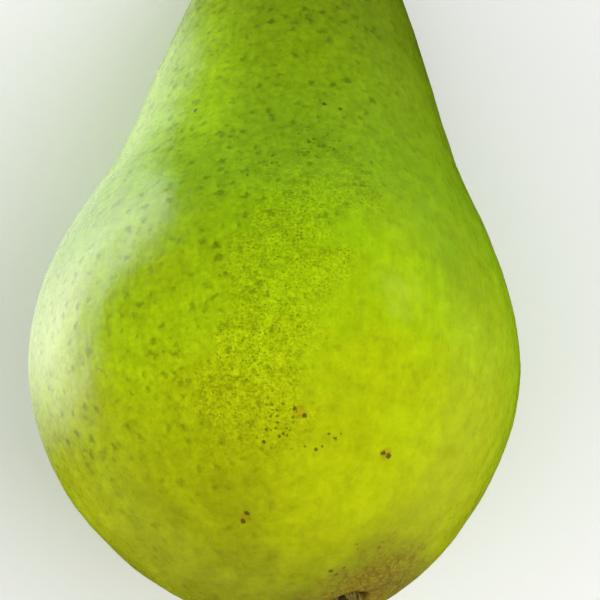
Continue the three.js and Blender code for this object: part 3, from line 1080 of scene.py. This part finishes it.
# %% Floor
deselect()
bpy.ops.mesh.primitive_plane_add(size=3)
floor = bpy.context.object
floor.name = "floor"
floor.visible_glossy = False
floor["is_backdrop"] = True
paper, tree, paper_shader = new_material("paper")
paper_shader.inputs["Base Color"].default_value = (0.96, 0.96, 0.96, 1)
paper_shader.inputs["Roughness"].default_value = 0.9
paper_shader.inputs["Specular IOR Level"].default_value = 0.1
floor.data.materials.append(paper)
print("the floor is", round(floor.dimensions.x, 1), "m wide")

# %% [markdown]
# Three big soft lights give the brightness: one overhead, a key on the right and a weak fill on the left. A
# small light would be easier to aim, but it would give a hard shadow. Like the paper, they stay out of the
# reflections, so that they light the skin without a square glare on it.

# %% Three soft lights
SUBJECT = Vector((0, -0.02, 0.03))


def soft_light(name, place, size, power):
    """A big square light aimed at the pear, which doesn't show in the gloss."""
    deselect()
    bpy.ops.object.light_add(type="AREA", location=place)
    light = bpy.context.object
    light.name = name
    light.rotation_euler = (SUBJECT - Vector(place)).to_track_quat("-Z", "Y").to_euler()
    light.data.size = size
    light.data.energy = power
    light.data.cycles.use_multiple_importance_sampling = False
    light.visible_glossy = False


soft_light("overhead", (0, 0.1, 1.0), 2.0, 8.3)
soft_light("key", (0.6, -0.05, 0.65), 0.9, 5)
soft_light("fill", (-0.6, -0.2, 0.3), 0.7, 2.3)
print("three soft lights aimed at", list(SUBJECT))

# %% [markdown]
# What the skin does mirror is a white card that stands low on the left, as a window would. The card is a
# plane that gives off light but is seen by mirrored rays alone, so it lights nothing else. A plain card
# would end in a hard line, so its strength falls off from the top edge down and fades towards both ends.

# %% White card in the gloss
CARD_PLACE = Vector((-75, 8, -65)) * MM
CARD_HALF = Vector((130, 87)) * MM
deselect()
bpy.ops.mesh.primitive_plane_add(size=2, location=CARD_PLACE, rotation=(0, math.pi / 2, 0))
card = bpy.context.object
card.name = "white_card"
card.scale = (CARD_HALF.x, CARD_HALF.y, 1)
card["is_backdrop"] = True
for ray in ("camera", "diffuse", "transmission", "volume_scatter", "shadow"):
    setattr(card, "visible_" + ray, False)

glow, tree, shader = new_material("card_glow")
glow.cycles.emission_sampling = "NONE"
CARD_POWER = 6.6
spot = put(tree, "TexCoord").outputs["Object"]
down, back = put(tree, "SeparateXYZ", {0: spot}).outputs[:2]
from_top = calc(tree, "MULTIPLY_ADD", down, 0.5, 0.5)
towards_neck = fade(tree, back, 0.0, 0.3, 0.0, 0.02)
strength = put(tree, "ValToRGB", {0: calc(tree, "ADD", from_top, towards_neck)})
GLOW = [  # place from the card's top to its foot, share of full strength
    (0.02, 0.0),
    (0.055, 0.6),
    (0.095, 1.0),
    (0.17, 0.88),
    (0.25, 0.52),
    (0.33, 0.34),
    (0.40, 0.26),
    (0.48, 0.21),
    (1.0, 0.18),
]
while len(strength.color_ramp.elements) < len(GLOW):
    strength.color_ramp.elements.new(1.0)
for element, (position, level) in zip(strength.color_ramp.elements, GLOW):
    element.position = position
    element.color = (level, level, level, 1)
ends = product(tree, fade(tree, back, -0.85, -0.3), fade(tree, back, 1.0, 0.65))
power = product(tree, strength.outputs[0], ends, CARD_POWER, fade(tree, back, 0.0, 0.3, 1.0, 1.12))
light = put(tree, "Emission", {"Strength": power})
tree.links.new(light.outputs[0], tree.nodes["Material Output"].inputs["Surface"])
card.data.materials.append(glow)
print("the card stands", round(-CARD_PLACE.x / MM), "mm to the left")

# %% [markdown]
# A weak white world lifts the shadows a little, as the walls of a pale room do. The colours are set as
# albedos, so the plain view transform is chosen, which shows them without a film-like curve.

# %% World
world = bpy.data.worlds.new("studio")
bpy.context.scene.world = world
world.use_nodes = True
world.cycles_visibility.glossy = False
world.node_tree.nodes["Background"].inputs["Color"].default_value = (1, 1, 1, 1)
world.node_tree.nodes["Background"].inputs["Strength"].default_value = 0.15
bpy.context.scene.view_settings.view_transform = "Standard"
print("the world is called", world.name)

# %% [markdown]
# The camera hangs nearly straight above the pear, half a metre off, and looks down. It is aimed a little
# past the belly towards the stalk, so the frame holds the whole belly and half the neck. The focal length
# follows from how wide the view should be at that distance.

# %% Camera
DISTANCE = 0.46
ELEVATION = math.radians(87.3)
VIEW_WIDTH = 86.1 * MM
aim = belly + Vector((3.6, 10.4, -3.4)) * MM
view_from = Vector((0, -math.cos(ELEVATION), math.sin(ELEVATION)))
bpy.ops.object.camera_add(location=aim + view_from * DISTANCE)
camera = bpy.context.object
camera.rotation_euler = (-view_from).to_track_quat("-Z", "Y").to_euler()
camera.data.lens = camera.data.sensor_width * DISTANCE / VIEW_WIDTH
camera.data.clip_start = 0.01
bpy.context.scene.camera = camera
print("the camera is", DISTANCE, "m away with a", round(camera.data.lens), "mm lens")

# %% [markdown]
# ## Sizes
#
# Last, the box round the finished pieces is measured and printed, to set beside the imported model's box
# printed at the start. They should agree within a few hundredths of the pear's size.

# %% Measure the finished pear
sizes = {"cad_box_m": [list(corner) for corner in cad_box],
         "visual_box_m": [list(corner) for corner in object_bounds()]}
low, high = sizes["visual_box_m"]
print("the finished pear, in mm:", [round((b - a) / MM, 1) for a, b in zip(low, high)])
